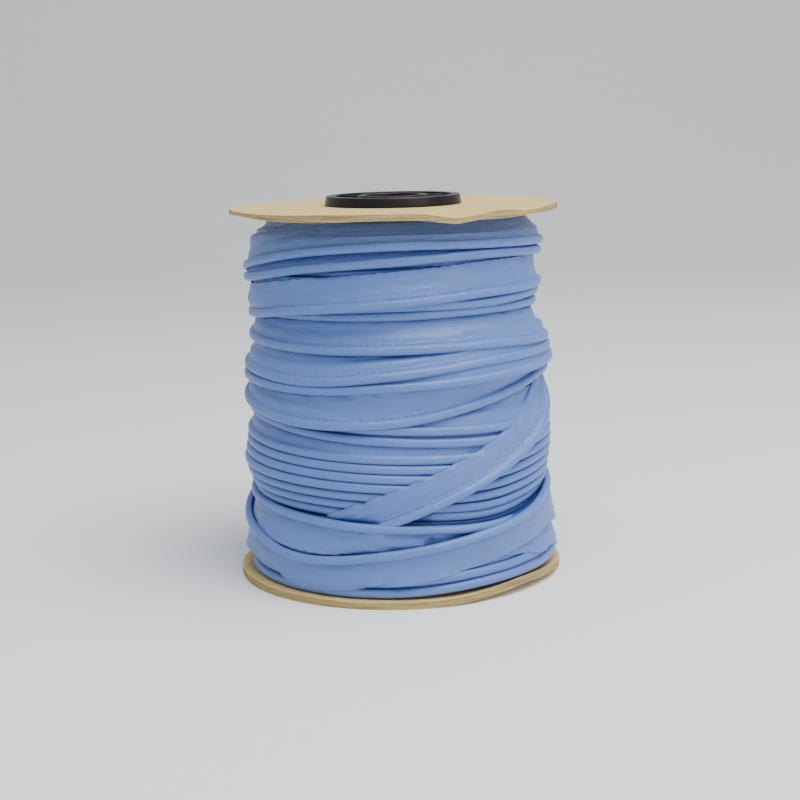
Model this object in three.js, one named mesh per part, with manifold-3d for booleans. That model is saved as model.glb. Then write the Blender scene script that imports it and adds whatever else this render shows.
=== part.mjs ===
// A roll of satin piping, which is a cord sewn into the edge of a folded satin tape.
// It is wound on a reel of two cardboard discs, held together by a black plastic hub.
// Millimetres, +Z up. The lower disc lies on the surface, with the origin at its middle.
// Angles go round the axis, in degrees: 0 is the front (-Y), 90 the right (+X).

import * as THREE from 'three';
import { mergeVertices } from 'three/addons/utils/BufferGeometryUtils.js';
import Module from 'manifold-3d';

const wasm = await Module();
wasm.setup();

// Piping
const PIPING_WIDTH = 12.3;
const CORD_RADIUS = 1.6;
const LIP_THICKNESS = 0.5;
const LIP_ROOT = 0.6;
const TUCK_DEPTH = 5;
const ROLL_OVER_ANGLE = 130;

// Reel
const REEL_HEIGHT = 135.5;
const FLANGE_RADIUS = 60;
const FLANGE_THICKNESS = 2.9;
const FLAT_RADIUS = 46;
const INNER_DENT_RADIUS = 53;
const OUTER_DENT_RADIUS = 57.5;
const SEAT_GAP = 0.3;

// Hub
const BARREL_RADIUS = 18;
const BARREL_WALL = 2;
const COLLAR_RADIUS = 25;
const COLLAR_TOP_RADIUS = 24.4;
const COLLAR_HEIGHT = 3.2;
const COLLAR_EDGE = 0.4;
const RIM_WIDTH = 3.2;
const BORE_RADIUS = 10.5;
const BORE_RING_RADIUS = 12.8;
const WEB_THICKNESS = 1.6;
const RIB_COUNT = 6;
const RIB_WIDTH = 1.4;
const RIB_DROP = 0.5;
const RIB_OVERLAP = 0.5;
const HUB_FOOT_HEIGHT = 0.4;
const HUB_SEGMENTS = 48;

const HOLE_RADIUS = BARREL_RADIUS + SEAT_GAP;
const WINDING_BOTTOM = FLANGE_THICKNESS + SEAT_GAP;
const WINDING_TOP = REEL_HEIGHT - FLANGE_THICKNESS - SEAT_GAP;

// The turns run from right to left across the front. A row holds the height of the cord's
// outer edge where a turn crosses these five angles.
const STATIONS = { right: 70, rightFront: 35, front: 0, leftFront: -35, left: -70 };

// The ground layer climbs the reel, and turns between two rows lie evenly.
const GROUND_TURNS = [
  { turn: 0, right: 6.0, rightFront: 5.4, front: 3.5, leftFront: 3.3, left: 3.4 },
  { turn: 1, right: 10.0, rightFront: 9.1, front: 7.5, leftFront: 7.2, left: 8.0 },
  { turn: 2, right: 13.2, rightFront: 12.0, front: 10.4, leftFront: 10.4, left: 11.5 },
  { turn: 8, right: 31.5, rightFront: 28.3, front: 30.2, leftFront: 31.5, left: 32.2 },
  { turn: 9, right: 34.0, rightFront: 31.4, front: 33.3, leftFront: 34.8, left: 35.4 },
  { turn: 14, right: 51.0, rightFront: 49.3, front: 50.0, leftFront: 51.3, left: 52.8 },
  { turn: 15, right: 54.8, rightFront: 54.3, front: 56.0, leftFront: 58.3, left: 61.3 },
  { turn: 16, right: 58.2, rightFront: 58.5, front: 60.0, leftFront: 61.7, left: 64.2 },
  { turn: 17, right: 77.0, rightFront: 75.0, front: 73.0, leftFront: 72.5, left: 73.5 },
  { turn: 36, right: 124.5, rightFront: 124.5, front: 124.5, leftFront: 124.5, left: 124.0 },
];

// The outer turns, in the order in which they were wound. The lip lies above the cord, at 1,
// or below it, at -1, where the piping has rolled over.
const OUTER_TURNS = [
  { name: 'drop', lip: 1, right: 57.5, rightFront: 42.4, front: 28.9, leftFront: 16.5, left: 11.0 },
  { name: 'tuckedFoot', lip: -1, right: 22.3, rightFront: 27.0, front: 24.0, leftFront: 20.0, left: 24.0 },
  { name: 'upperFoot', lip: -1, right: 30.2, rightFront: 27.8, front: 28.9, leftFront: 30.9, left: 32.8 },
  { name: 'lowerFoot', lip: -1, right: 32.4, rightFront: 26.6, front: 20.8, leftFront: 17.4, left: 22.5 },
  { name: 'twistBand', lip: 1, right: 73.2, rightFront: 67.8, front: 62.7, leftFront: 61.9, left: 65.0 },
  { name: 'underBand', lip: 1, right: 77.8, rightFront: 76.6, front: 75.0, leftFront: 73.3, left: 73.8 },
  { name: 'sagBand', lip: 1, right: 82.0, rightFront: 81.9, front: 79.0, leftFront: 76.2, left: 77.4 },
  { name: 'middleBand', lip: 1, right: 86.0, rightFront: 87.6, front: 87.5, leftFront: 87.2, left: 87.9 },
  { name: 'lowTwin', lip: 1, right: 98.9, rightFront: 99.3, front: 98.9, leftFront: 98.7, left: 98.5 },
  { name: 'highTwin', lip: 1, right: 102.7, rightFront: 101.9, front: 102.1, leftFront: 101.2, left: 101.0 },
  { name: 'slantBand', lip: 1, right: 105.4, rightFront: 105.3, front: 103.3, leftFront: 100.9, left: 97.3 },
  { name: 'thinBand', lip: 1, right: 117.6, rightFront: 118.7, front: 117.4, leftFront: 115.0, left: 110.5 },
  { name: 'topBand', lip: 1, right: 121.2, rightFront: 122.3, front: 122.8, leftFront: 120.7, left: 115.6 },
];

// Radius of the older layers below the turns, which thin out towards the top, and how far
// they lie to the right and to the front of the axis.
const CORE_PROFILE = [
  { height: 0, radius: 53.6, right: 1.4, front: 0 },
  { height: 9, radius: 53.4, right: 1.4, front: 1.6 },
  { height: 15, radius: 50.8, right: 1.6, front: 0.4 },
  { height: 21, radius: 47.2, right: 0.6, front: -0.4 },
  { height: 27, radius: 45.6, right: 0.8, front: -0.8 },
  { height: 32, radius: 46.4, right: 0.3, front: 2.0 },
  { height: 36, radius: 47.4, right: 0.2, front: 3.0 },
  { height: 40, radius: 50.0, right: -0.4, front: 1.8 },
  { height: 44, radius: 52.0, right: -0.8, front: 0.4 },
  { height: 48, radius: 51.6, right: 0.4, front: 0 },
  { height: 54, radius: 51.2, right: 0.8, front: 0 },
  { height: 61, radius: 50.6, right: 0.5, front: 0 },
  { height: 66, radius: 50.9, right: 0.3, front: 0 },
  { height: 70, radius: 50.1, right: 0.8, front: 0 },
  { height: 76, radius: 50.2, right: 1.4, front: 0 },
  { height: 81, radius: 47.8, right: 1.6, front: 0 },
  { height: 85, radius: 42.8, right: -0.6, front: 0 },
  { height: 90, radius: 42.2, right: -2.0, front: 0 },
  { height: 94, radius: 43.6, right: -1.6, front: 0 },
  { height: 98, radius: 44.0, right: -0.4, front: 0 },
  { height: 105, radius: 38.2, right: -0.4, front: 0 },
  { height: 112, radius: 44.8, right: -1.6, front: 0 },
  { height: 120, radius: 44.0, right: 0.4, front: 0 },
  { height: 133, radius: 44.6, right: 0.3, front: 0 },
];

// Lift of the lower disc's rim, which is curled up at the right.
const LOWER_RIM = [
  { angle: 0, lift: 0 },
  { angle: 20, lift: 0.4 },
  { angle: 35, lift: 2.0 },
  { angle: 46, lift: 3.1 },
  { angle: 56, lift: 2.8 },
  { angle: 66, lift: 1.9 },
  { angle: 84, lift: 0 },
  { angle: 120, lift: 0 },
  { angle: 330, lift: 0 },
];

// Lift of the two faces at the upper disc's rim, which is dented and crushed.
const UPPER_RIM = [
  { angle: -110, top: 0, bottom: 0.2 },
  { angle: -62, top: -0.1, bottom: 1.3 },
  { angle: -42, top: -0.2, bottom: 0.4 },
  { angle: -20, top: 0.3, bottom: 0.4 },
  { angle: -3, top: 0.3, bottom: 1.2 },
  { angle: 11, top: -0.1, bottom: 0.4 },
  { angle: 20, top: -1.7, bottom: -0.9 },
  { angle: 30, top: -0.7, bottom: 0.1 },
  { angle: 37, top: 0.2, bottom: 0 },
  { angle: 50, top: -0.6, bottom: 0.5 },
  { angle: 66, top: 0.1, bottom: 0.9 },
  { angle: 110, top: 0.3, bottom: 0.3 },
  { angle: 180, top: 0.2, bottom: 0 },
];

// Grid on which the turns are laid, and the columns kept for the finished solid, which are
// closest where the steep turn crosses the front
const COLUMN_STEP = 2.5;
const COLUMN_COUNT = 360 / COLUMN_STEP;
const ROW_STEP = 0.4;
const BLEND_STEPS = 6;
const TUCK_STEPS = 12;
const COLUMN_SPANS = [
  { from: -92.5, to: -25, step: 7.5 },
  { from: -25, to: 80, step: 2.5 },
  { from: 80, to: 267.5, step: 12.5 },
];
const DISC_STEP = 5;
const MIN_ROW_GAP = 0.2;
const VALLEY_REACHES = [-0.6, -0.4, -0.2, 0, 0.2, 0.4];
const SMALLEST_STEP = 1e-6;
const WELD_DISTANCE = 1e-4;

const radians = THREE.MathUtils.degToRad;
const lerp = THREE.MathUtils.lerp;
const clamp = THREE.MathUtils.clamp;

// A smooth curve through knots { at, value }, straight past both ends.
function curveThrough(knots) {
  const slopes = knots.map((knot, i) => {
    const before = knots[Math.max(i - 1, 0)];
    const after = knots[Math.min(i + 1, knots.length - 1)];
    const stepBefore = Math.max(knot.at - before.at, SMALLEST_STEP);
    const stepAfter = Math.max(after.at - knot.at, SMALLEST_STEP);
    const riseBefore = (knot.value - before.value) / stepBefore;
    const riseAfter = (after.value - knot.value) / stepAfter;
    if (i === 0) return riseAfter;
    if (i === knots.length - 1) return riseBefore;
    return (riseBefore * stepAfter + riseAfter * stepBefore) / (stepBefore + stepAfter);
  });
  return (at) => {
    const last = knots.length - 1;
    if (at <= knots[0].at) return knots[0].value + slopes[0] * (at - knots[0].at);
    if (at >= knots[last].at) return knots[last].value + slopes[last] * (at - knots[last].at);
    let i = 0;
    while (at > knots[i + 1].at) i += 1;
    const span = knots[i + 1].at - knots[i].at;
    const t = (at - knots[i].at) / span;
    const rest = 1 - t;
    const from = (1 + 2 * t) * knots[i].value + t * span * slopes[i];
    const to = (1 + 2 * rest) * knots[i + 1].value - rest * span * slopes[i + 1];
    return rest * rest * from + t * t * to;
  };
}

// The same for a value that comes round again after a full circle.
function curveRound(rows, key) {
  const knots = [-360, 0, 360].flatMap((shift) =>
    rows.map((row) => ({ at: row.angle + shift, value: row[key] })));
  return curveThrough(knots);
}

// All turns from the first to the last one wound, each with a height at every station.
function listTurns() {
  const turns = [];
  GROUND_TURNS.forEach((row, i) => {
    const next = GROUND_TURNS[i + 1] ?? { turn: row.turn + 1 };
    for (let turn = row.turn; turn < next.turn; turn += 1) {
      const share = (turn - row.turn) / (next.turn - row.turn);
      const heights = {};
      for (const station of Object.keys(STATIONS)) {
        heights[station] = share === 0 ? row[station] : lerp(row[station], next[station], share);
      }
      turns.push({ name: `ground${turn}`, lip: 1, ...heights });
    }
  });
  return turns.concat(OUTER_TURNS);
}

const turns = listTurns();

// The piping's course: how far round it has gone, in degrees, gives its height and side.
function pipingCourse() {
  const heightKnots = [];
  const sideKnots = [];
  turns.forEach((turn, n) => {
    for (const [station, angle] of Object.entries(STATIONS)) {
      heightKnots.push({ at: 360 * n - angle, value: turn[station] });
    }
    sideKnots.push({ at: 360 * n - ROLL_OVER_ANGLE, value: turn.lip });
    sideKnots.push({ at: 360 * n + ROLL_OVER_ANGLE, value: turn.lip });
  });
  const side = curveThrough(sideKnots);
  return { height: curveThrough(heightKnots), side: (at) => clamp(side(at), -1, 1) };
}

// Lays every turn on those below it and returns the outer radius for a column and a height.
function layTurns() {
  const course = pipingCourse();
  const rowCount = Math.round((WINDING_TOP - WINDING_BOTTOM) / ROW_STEP) + 1;
  const rowHeight = (row) => WINDING_BOTTOM + row * ROW_STEP;
  const profile = (key) => curveThrough(
    CORE_PROFILE.map((row) => ({ at: row.height, value: row[key] })));
  const core = { radius: profile('radius'), right: profile('right'), front: profile('front') };
  const coreRadius = (angle, height) => core.radius(height)
    + Math.sin(angle) * core.right(height) + Math.cos(angle) * core.front(height);
  const radii = Array.from({ length: COLUMN_COUNT }, (_, column) =>
    Float64Array.from({ length: rowCount }, (_unused, row) => (
      coreRadius(radians(column * COLUMN_STEP), rowHeight(row)))));

  const columnOf = (step) => ((-step % COLUMN_COUNT) + COLUMN_COUNT) % COLUMN_COUNT;
  const rowOf = (height) => clamp((height - WINDING_BOTTOM) / ROW_STEP, 0, rowCount - 1);
  const radiusAt = (column, height) => {
    const row = rowOf(height);
    const low = Math.min(Math.floor(row), rowCount - 2);
    return lerp(radii[column][low], radii[column][low + 1], row - low);
  };

  const section = (step) => {
    const at = step * COLUMN_STEP;
    const edge = course.height(at);
    const rise = (course.height(at + 1) - course.height(at - 1)) / 2;
    const stretch = Math.hypot(1, rise / (radians(1) * FLANGE_RADIUS));
    const side = course.side(at) * stretch;
    return { side, middle: edge + side * CORD_RADIUS, stretch };
  };

  // The soft cord beds into what it crosses, so its seat is evened out along the piping.
  const seats = new Map();
  const findSeat = (step) => {
    const { middle } = section(step);
    const column = columnOf(step);
    const around = [-0.5, 0, 0.5].map((share) => radiusAt(column, middle + share * CORD_RADIUS));
    seats.set(step, (around[0] + around[1] + around[2]) / 3);
  };
  const smoothSeat = (step) => {
    let total = 0;
    for (let shift = -BLEND_STEPS; shift <= BLEND_STEPS; shift += 1) {
      total += seats.get(step + shift);
    }
    return total / (2 * BLEND_STEPS + 1);
  };

  // The lip is drawn taut over the ridges below it, from the cord to its free edge.
  const drapeLip = (column, from, to, root) => {
    const points = [{ offset: 0, radius: root }];
    const count = Math.max(2, Math.round(Math.abs(to - from) / ROW_STEP));
    for (let i = 1; i <= count; i += 1) {
      const offset = i / count;
      const radius = radiusAt(column, lerp(from, to, offset)) + LIP_THICKNESS;
      const next = { offset, radius };
      while (points.length > 1) {
        const last = points[points.length - 1];
        const before = points[points.length - 2];
        const share = (last.offset - before.offset) / (next.offset - before.offset);
        if (last.radius > lerp(before.radius, next.radius, share)) break;
        points.pop();
      }
      points.push(next);
    }
    return (offset) => {
      let i = 0;
      while (i < points.length - 2 && offset > points[i + 1].offset) i += 1;
      const share = (offset - points[i].offset) / (points[i + 1].offset - points[i].offset);
      return lerp(points[i].radius, points[i + 1].radius, share);
    };
  };

  const firstStep = -COLUMN_COUNT / 2;
  const lastStep = (turns.length - 1) * COLUMN_COUNT + COLUMN_COUNT / 2;
  for (let step = firstStep - BLEND_STEPS; step < firstStep + BLEND_STEPS; step += 1) {
    findSeat(step);
  }
  for (let step = firstStep; step <= lastStep; step += 1) {
    findSeat(step + BLEND_STEPS);
    const { middle, side, stretch } = section(step);
    const column = columnOf(step);
    const tuck = TUCK_DEPTH * clamp((step - lastStep + TUCK_STEPS) / TUCK_STEPS, 0, 1);
    const seat = smoothSeat(step) - tuck;
    const halfHeight = CORD_RADIUS * stretch;
    const lipLength = side * (PIPING_WIDTH - CORD_RADIUS);
    const lip = drapeLip(column, middle, middle + lipLength, seat + LIP_ROOT);
    const laid = new Float64Array(rowCount);
    for (let row = 0; row < rowCount; row += 1) {
      const offset = rowHeight(row) - middle;
      if (Math.abs(offset) <= halfHeight) {
        laid[row] = seat + CORD_RADIUS * (1 + Math.sqrt(1 - (offset / halfHeight) ** 2));
      }
      const share = offset / lipLength;
      if (share >= 0 && share <= 1) laid[row] = Math.max(laid[row], lip(share) - tuck);
    }
    for (let row = 0; row < rowCount; row += 1) {
      radii[column][row] = Math.max(radii[column][row], laid[row]);
    }
  }
  return radiusAt;
}

// The lines that the finished solid's rows follow, each at a distance from a cord's edge. At
// a valley, the row takes the lowest radius close by.
function rowLines() {
  const valley = (offset) => ({ offset, valley: true });
  const ridge = (offset) => ({ offset, valley: false });
  const lowCord = [valley(-0.1), ridge(0.8), ridge(2.4)];
  const sunkCord = [...lowCord, valley(3.5)];
  const band = [...sunkCord, ridge(7.5)];
  const wideBand = [...band, ridge(10.5)];
  const highCord = [valley(-3.5), ridge(-2.4), ridge(-0.8), valley(0.1)];
  const foot = [valley(-PIPING_WIDTH - 0.1), ridge(-8), ...highCord];
  const plan = [
    { name: 'ground0', rows: lowCord },
    { name: 'ground1', rows: lowCord },
    { name: 'ground2', rows: lowCord },
    { name: 'lowerFoot', rows: foot },
    { name: 'upperFoot', rows: highCord },
    ...[9, 10, 11, 12, 13, 14, 15, 16].map((turn) => ({ name: `ground${turn}`, rows: lowCord })),
    { name: 'twistBand', rows: band },
    { name: 'underBand', rows: lowCord },
    { name: 'sagBand', rows: sunkCord },
    { name: 'middleBand', rows: wideBand },
    { name: 'lowTwin', rows: lowCord },
    { name: 'highTwin', rows: lowCord },
    { name: 'slantBand', rows: wideBand },
    { name: 'thinBand', rows: lowCord },
    { name: 'topBand', rows: band },
  ];
  return plan.flatMap(({ name, rows }) => {
    const turn = turns.find((candidate) => candidate.name === name);
    const stations = Object.entries(STATIONS).map(([station, angle]) => (
      { angle, height: turn[station] }));
    const height = curveRound(stations.reverse(), 'height');
    return rows.map(({ offset, valley: low }) => (
      { heightAt: (angle) => height(angle) + offset, low }));
  });
}

// A closed ring from one closed outline of { radius, height } for each angle. Each patch is
// split along its more even diagonal, so that the edges follow the cords.
function ringGeometry(angles, outlineAt) {
  const positions = [];
  const indices = [];
  const outlines = angles.map(outlineAt);
  const size = outlines[0].length;
  outlines.forEach((outline, column) => {
    const turn = radians(angles[column]);
    for (const { radius, height } of outline) {
      positions.push(radius * Math.sin(turn), -radius * Math.cos(turn), height);
    }
  });
  for (let column = 0; column < angles.length; column += 1) {
    const next = (column + 1) % angles.length;
    for (let i = 0; i < size; i += 1) {
      const j = (i + 1) % size;
      const [a, b, c, d] = [column * size + i, next * size + i, next * size + j, column * size + j];
      const forward = Math.abs(outlines[column][i].radius - outlines[next][j].radius);
      const backward = Math.abs(outlines[next][i].radius - outlines[column][j].radius);
      if (forward <= backward) indices.push(a, b, c, a, c, d);
      else indices.push(a, b, d, b, c, d);
    }
  }
  const geometry = new THREE.BufferGeometry();
  geometry.setAttribute('position', new THREE.Float32BufferAttribute(positions, 3));
  geometry.setIndex(indices);
  geometry.computeVertexNormals();
  return geometry;
}

const lowerCurl = curveRound(LOWER_RIM, 'lift');
const lowerLift = (angle) => Math.max(lowerCurl(angle), 0);
const upperTopLift = curveRound(UPPER_RIM, 'top');
const upperBottomLift = curveRound(UPPER_RIM, 'bottom');

// A rim's lift fades out towards the flat middle of its disc.
function rimShare(radius) {
  return clamp((radius - FLAT_RADIUS) / (FLANGE_RADIUS - FLAT_RADIUS), 0, 1) ** 2;
}

function discGeometry(base, bottomLift, topLift) {
  const ringRadii = [HOLE_RADIUS, FLAT_RADIUS, INNER_DENT_RADIUS, OUTER_DENT_RADIUS, FLANGE_RADIUS];
  const angles = Array.from({ length: 360 / DISC_STEP }, (_, i) => i * DISC_STEP);
  return ringGeometry(angles, (angle) => {
    const bottom = ringRadii.map((radius) => (
      { radius, height: base + bottomLift(angle) * rimShare(radius) }));
    const top = ringRadii.map((radius) => (
      { radius, height: base + FLANGE_THICKNESS + topLift(angle) * rimShare(radius) }));
    return [...bottom, ...top.reverse()];
  });
}

function windingGeometry() {
  const radiusAt = layTurns();
  const lines = rowLines();
  const angles = [];
  for (const { from, to, step } of COLUMN_SPANS) {
    for (let angle = from; angle < to; angle += step) angles.push(angle);
  }
  return ringGeometry(angles, (angle) => {
    const column = Math.round(angle / COLUMN_STEP + COLUMN_COUNT) % COLUMN_COUNT;
    const foot = WINDING_BOTTOM + lowerLift(angle);
    const rows = [{ height: foot }];
    for (const { heightAt, low } of lines) rows.push({ height: heightAt(angle), low });
    rows.push({ height: WINDING_TOP });
    for (let row = rows.length - 2; row > 0; row -= 1) {
      rows[row].height = Math.min(rows[row].height, rows[row + 1].height - MIN_ROW_GAP);
    }
    rows.forEach((row, i) => {
      row.height = clamp(row.height, foot + i * MIN_ROW_GAP, WINDING_TOP);
    });
    const outer = rows.map(({ height, low }) => {
      const reaches = low ? VALLEY_REACHES : [0];
      const radii = reaches.map((reach) => radiusAt(column, height + reach));
      return { radius: Math.min(...radii), height };
    });
    const under = [HOLE_RADIUS, FLAT_RADIUS].map((radius) => ({ radius, height: WINDING_BOTTOM }));
    return [...under, ...outer, { radius: HOLE_RADIUS, height: WINDING_TOP }];
  });
}

function toSolid(geometry) {
  const bare = geometry.index ? geometry.clone() : geometry;
  bare.deleteAttribute('normal');
  bare.deleteAttribute('uv');
  const merged = mergeVertices(bare, WELD_DISTANCE);
  return new wasm.Manifold(new wasm.Mesh({
    numProp: 3,
    vertProperties: Float32Array.from(merged.attributes.position.array),
    triVerts: Uint32Array.from(merged.index.array),
  }));
}

function toGeometry(solid) {
  const mesh = solid.getMesh();
  const geometry = new THREE.BufferGeometry();
  geometry.setAttribute('position', new THREE.BufferAttribute(mesh.vertProperties, 3));
  geometry.setIndex(new THREE.BufferAttribute(mesh.triVerts, 1));
  geometry.computeVertexNormals();
  return geometry;
}

// Collar, rim, sunk web and two tubes as one turned outline, with ribs across the web.
function hubGeometry() {
  const seat = REEL_HEIGHT + SEAT_GAP;
  const top = seat + COLLAR_HEIGHT;
  const webTop = seat + WEB_THICKNESS;
  const outline = [
    [BORE_RADIUS, HUB_FOOT_HEIGHT],
    [BORE_RING_RADIUS, HUB_FOOT_HEIGHT],
    [BORE_RING_RADIUS, seat],
    [BARREL_RADIUS - BARREL_WALL, seat],
    [BARREL_RADIUS - BARREL_WALL, HUB_FOOT_HEIGHT],
    [BARREL_RADIUS, HUB_FOOT_HEIGHT],
    [BARREL_RADIUS, seat],
    [COLLAR_RADIUS, seat],
    [COLLAR_TOP_RADIUS, top - COLLAR_EDGE],
    [COLLAR_TOP_RADIUS - COLLAR_EDGE, top],
    [COLLAR_TOP_RADIUS - RIM_WIDTH, top],
    [COLLAR_TOP_RADIUS - RIM_WIDTH, webTop],
    [BORE_RING_RADIUS, webTop],
    [BORE_RING_RADIUS, top],
    [BORE_RADIUS, top],
    [BORE_RADIUS, HUB_FOOT_HEIGHT],
  ].map(([radius, height]) => new THREE.Vector2(radius, height));
  const turned = new THREE.LatheGeometry(outline, HUB_SEGMENTS);
  turned.rotateX(Math.PI / 2);
  let hub = toSolid(turned);
  const ribInner = BORE_RING_RADIUS - RIB_OVERLAP;
  const ribOuter = COLLAR_TOP_RADIUS - RIM_WIDTH + RIB_OVERLAP;
  const ribBottom = webTop - RIB_OVERLAP;
  const ribTop = top - RIB_DROP;
  for (let rib = 0; rib < RIB_COUNT; rib += 1) {
    const box = new THREE.BoxGeometry(ribOuter - ribInner, RIB_WIDTH, ribTop - ribBottom);
    box.translate((ribInner + ribOuter) / 2, 0, (ribBottom + ribTop) / 2);
    box.rotateZ(radians(360 * (rib + 0.5) / RIB_COUNT));
    hub = hub.add(toSolid(box));
  }
  return toGeometry(hub);
}

function piece(name, geometry, color, roughness, metalness) {
  const material = new THREE.MeshStandardMaterial({ color, roughness, metalness });
  const mesh = new THREE.Mesh(geometry, material);
  mesh.name = name;
  return mesh;
}

const CARDBOARD = '#c9ad83';
const SATIN = '#7c9cce';
const BLACK_PLASTIC = '#17181b';

const upperBase = REEL_HEIGHT - FLANGE_THICKNESS;
const roll = new THREE.Group();
roll.add(piece('flange_bottom', discGeometry(0, lowerLift, lowerLift), CARDBOARD, 0.9, 0));
roll.add(piece('winding', windingGeometry(), SATIN, 0.4, 0));
roll.add(piece('flange_top', discGeometry(upperBase, upperBottomLift, upperTopLift), CARDBOARD, 0.9, 0));
roll.add(piece('hub', hubGeometry(), BLACK_PLASTIC, 0.35, 0));

export default roll;
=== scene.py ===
"""Looks of a roll of satin piping on a cardboard reel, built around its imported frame."""

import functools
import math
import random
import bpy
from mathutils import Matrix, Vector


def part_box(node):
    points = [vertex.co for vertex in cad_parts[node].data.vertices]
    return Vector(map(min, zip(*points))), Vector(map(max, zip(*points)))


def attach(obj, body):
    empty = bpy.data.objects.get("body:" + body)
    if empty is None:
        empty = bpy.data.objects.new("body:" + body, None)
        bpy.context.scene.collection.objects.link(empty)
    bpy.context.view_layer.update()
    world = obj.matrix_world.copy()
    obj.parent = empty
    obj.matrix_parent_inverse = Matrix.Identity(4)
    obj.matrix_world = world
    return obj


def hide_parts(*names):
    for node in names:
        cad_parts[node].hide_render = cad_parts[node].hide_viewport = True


bl_info = {
    "name": "Roll of Satin Piping",
    "version": (1, 0, 0),
    "blender": (4, 5, 0),
    "location": "3D View > Sidebar > Piping Roll",
    "description": "Builds a roll of satin piping on a cardboard reel",
    "category": "Object",
}

from collections import namedtuple

import bpy
import numpy as np
from bpy.props import FloatProperty, FloatVectorProperty, IntProperty, PointerProperty
from mathutils import Matrix, Vector

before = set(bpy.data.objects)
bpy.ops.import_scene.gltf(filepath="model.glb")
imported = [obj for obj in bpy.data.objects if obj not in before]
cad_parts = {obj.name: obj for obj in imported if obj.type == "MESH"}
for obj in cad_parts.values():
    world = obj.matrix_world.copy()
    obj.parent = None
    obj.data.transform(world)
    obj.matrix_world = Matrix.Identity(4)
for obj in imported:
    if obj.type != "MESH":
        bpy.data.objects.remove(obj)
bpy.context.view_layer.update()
FLANGE_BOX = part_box("flange_bottom")
HUB_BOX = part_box("hub")
WINDING_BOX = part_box("winding")

MM = 0.001
BODY = "root"

# Reel sizes in millimetres, taken from the frame where it has them
FLANGE_RADIUS = FLANGE_BOX[1].x / MM
FLANGE_THICKNESS = 2.9
REEL_HEIGHT = 135.5
FLAT_RADIUS = 46.0
HOLE_RADIUS = 18.3
WINDING_BOTTOM = WINDING_BOX[0].z / MM
WINDING_TOP = WINDING_BOX[1].z / MM
HUB_BOTTOM = HUB_BOX[0].z / MM
HUB_TOP = HUB_BOX[1].z / MM

# Piping sizes in millimetres: the lip's height at the cord, its width from the cord's middle,
# where the seam lies across the piping, and how deep the last turn tucks in at its end
LIP_ROOT = 0.6
LIP_WIDTH = 10.7
SEAM_PLACE = 3.4
TUCK_DEPTH = 5.0
# Angle on both sides of the front in which a turn keeps its side
ROLL_OVER_ANGLE = 130

# Heights of the cord's outer edge where a turn crosses these angles: 0 is the front and 90
# the right. A turn runs from right to left across the front.
STATIONS = (70, 35, 0, -35, -70)
Turn = namedtuple("Turn", "name lip right right_front front left_front left")
Ground = namedtuple("Ground", "turn right right_front front left_front left")
GROUND_TURNS = (
    Ground(0, 6.0, 5.4, 3.5, 3.3, 3.4),
    Ground(1, 10.0, 9.1, 7.5, 7.2, 8.0),
    Ground(2, 13.2, 12.0, 10.4, 10.4, 11.5),
    Ground(8, 31.5, 28.3, 30.2, 31.5, 32.2),
    Ground(9, 34.0, 31.4, 33.3, 34.8, 35.4),
    Ground(14, 51.0, 49.3, 50.0, 51.3, 52.8),
    Ground(15, 54.8, 54.3, 56.0, 58.3, 61.3),
    Ground(16, 58.2, 58.5, 60.0, 61.7, 64.2),
    Ground(17, 77.0, 75.0, 73.0, 72.5, 73.5),
    Ground(36, 124.5, 124.5, 124.5, 124.5, 124.0),
)
OUTER_TURNS = (
    Turn("drop", 1, 57.5, 42.4, 28.9, 16.5, 11.0),
    Turn("tucked_foot", -1, 22.3, 27.0, 24.0, 20.0, 24.0),
    Turn("upper_foot", -1, 30.2, 27.8, 28.9, 30.9, 32.8),
    Turn("lower_foot", -1, 32.4, 26.6, 20.8, 17.4, 22.5),
    Turn("twist_band", 1, 73.2, 67.8, 62.7, 61.9, 65.0),
    Turn("under_band", 1, 77.8, 76.6, 75.0, 73.3, 73.8),
    Turn("sag_band", 1, 82.0, 81.9, 79.0, 76.2, 77.4),
    Turn("middle_band", 1, 86.0, 87.6, 87.5, 87.2, 87.9),
    Turn("low_twin", 1, 98.9, 99.3, 98.9, 98.7, 98.5),
    Turn("high_twin", 1, 102.7, 101.9, 102.1, 101.2, 101.0),
    Turn("slant_band", 1, 105.4, 105.3, 103.3, 100.9, 97.3),
    Turn("thin_band", 1, 117.6, 118.7, 117.4, 115.0, 110.5),
    Turn("top_band", 1, 121.2, 122.3, 122.8, 120.7, 115.6),
)
STEEP_TURN = OUTER_TURNS[0].name
# The outer turns are one length of piping, kept as three pieces.
OUTER_PIECES = {
    "piping_foot": ("drop", "lower_foot"),
    "piping_middle": ("twist_band", "low_twin"),
    "piping_upper": ("high_twin", "top_band"),
}

# Height and radius of the older layers below the turns, and their shift to the right and front
CORE_PROFILE = (
    (0, 53.6, 1.4, 0),
    (9, 53.4, 1.4, 1.6),
    (15, 50.8, 1.6, 0.4),
    (21, 47.2, 0.6, -0.4),
    (27, 45.6, 0.8, -0.8),
    (32, 46.4, 0.3, 2.0),
    (36, 47.4, 0.2, 3.0),
    (40, 50.0, -0.4, 1.8),
    (44, 52.0, -0.8, 0.4),
    (48, 51.6, 0.4, 0),
    (54, 51.2, 0.8, 0),
    (61, 50.6, 0.5, 0),
    (66, 50.9, 0.3, 0),
    (70, 50.1, 0.8, 0),
    (76, 50.2, 1.4, 0),
    (81, 47.8, 1.6, 0),
    (85, 42.8, -0.6, 0),
    (90, 42.2, -2.0, 0),
    (94, 43.6, -1.6, 0),
    (98, 44.0, -0.4, 0),
    (105, 38.2, -0.4, 0),
    (112, 44.8, -1.6, 0),
    (120, 44.0, 0.4, 0),
    (133, 44.6, 0.3, 0),
)

# Angle and lift of the lower rim
LOWER_RIM = (
    (0, 0),
    (20, 0.4),
    (35, 2.0),
    (46, 3.1),
    (56, 2.8),
    (66, 1.9),
    (84, 0),
    (120, 0),
    (330, 0),
)
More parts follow.
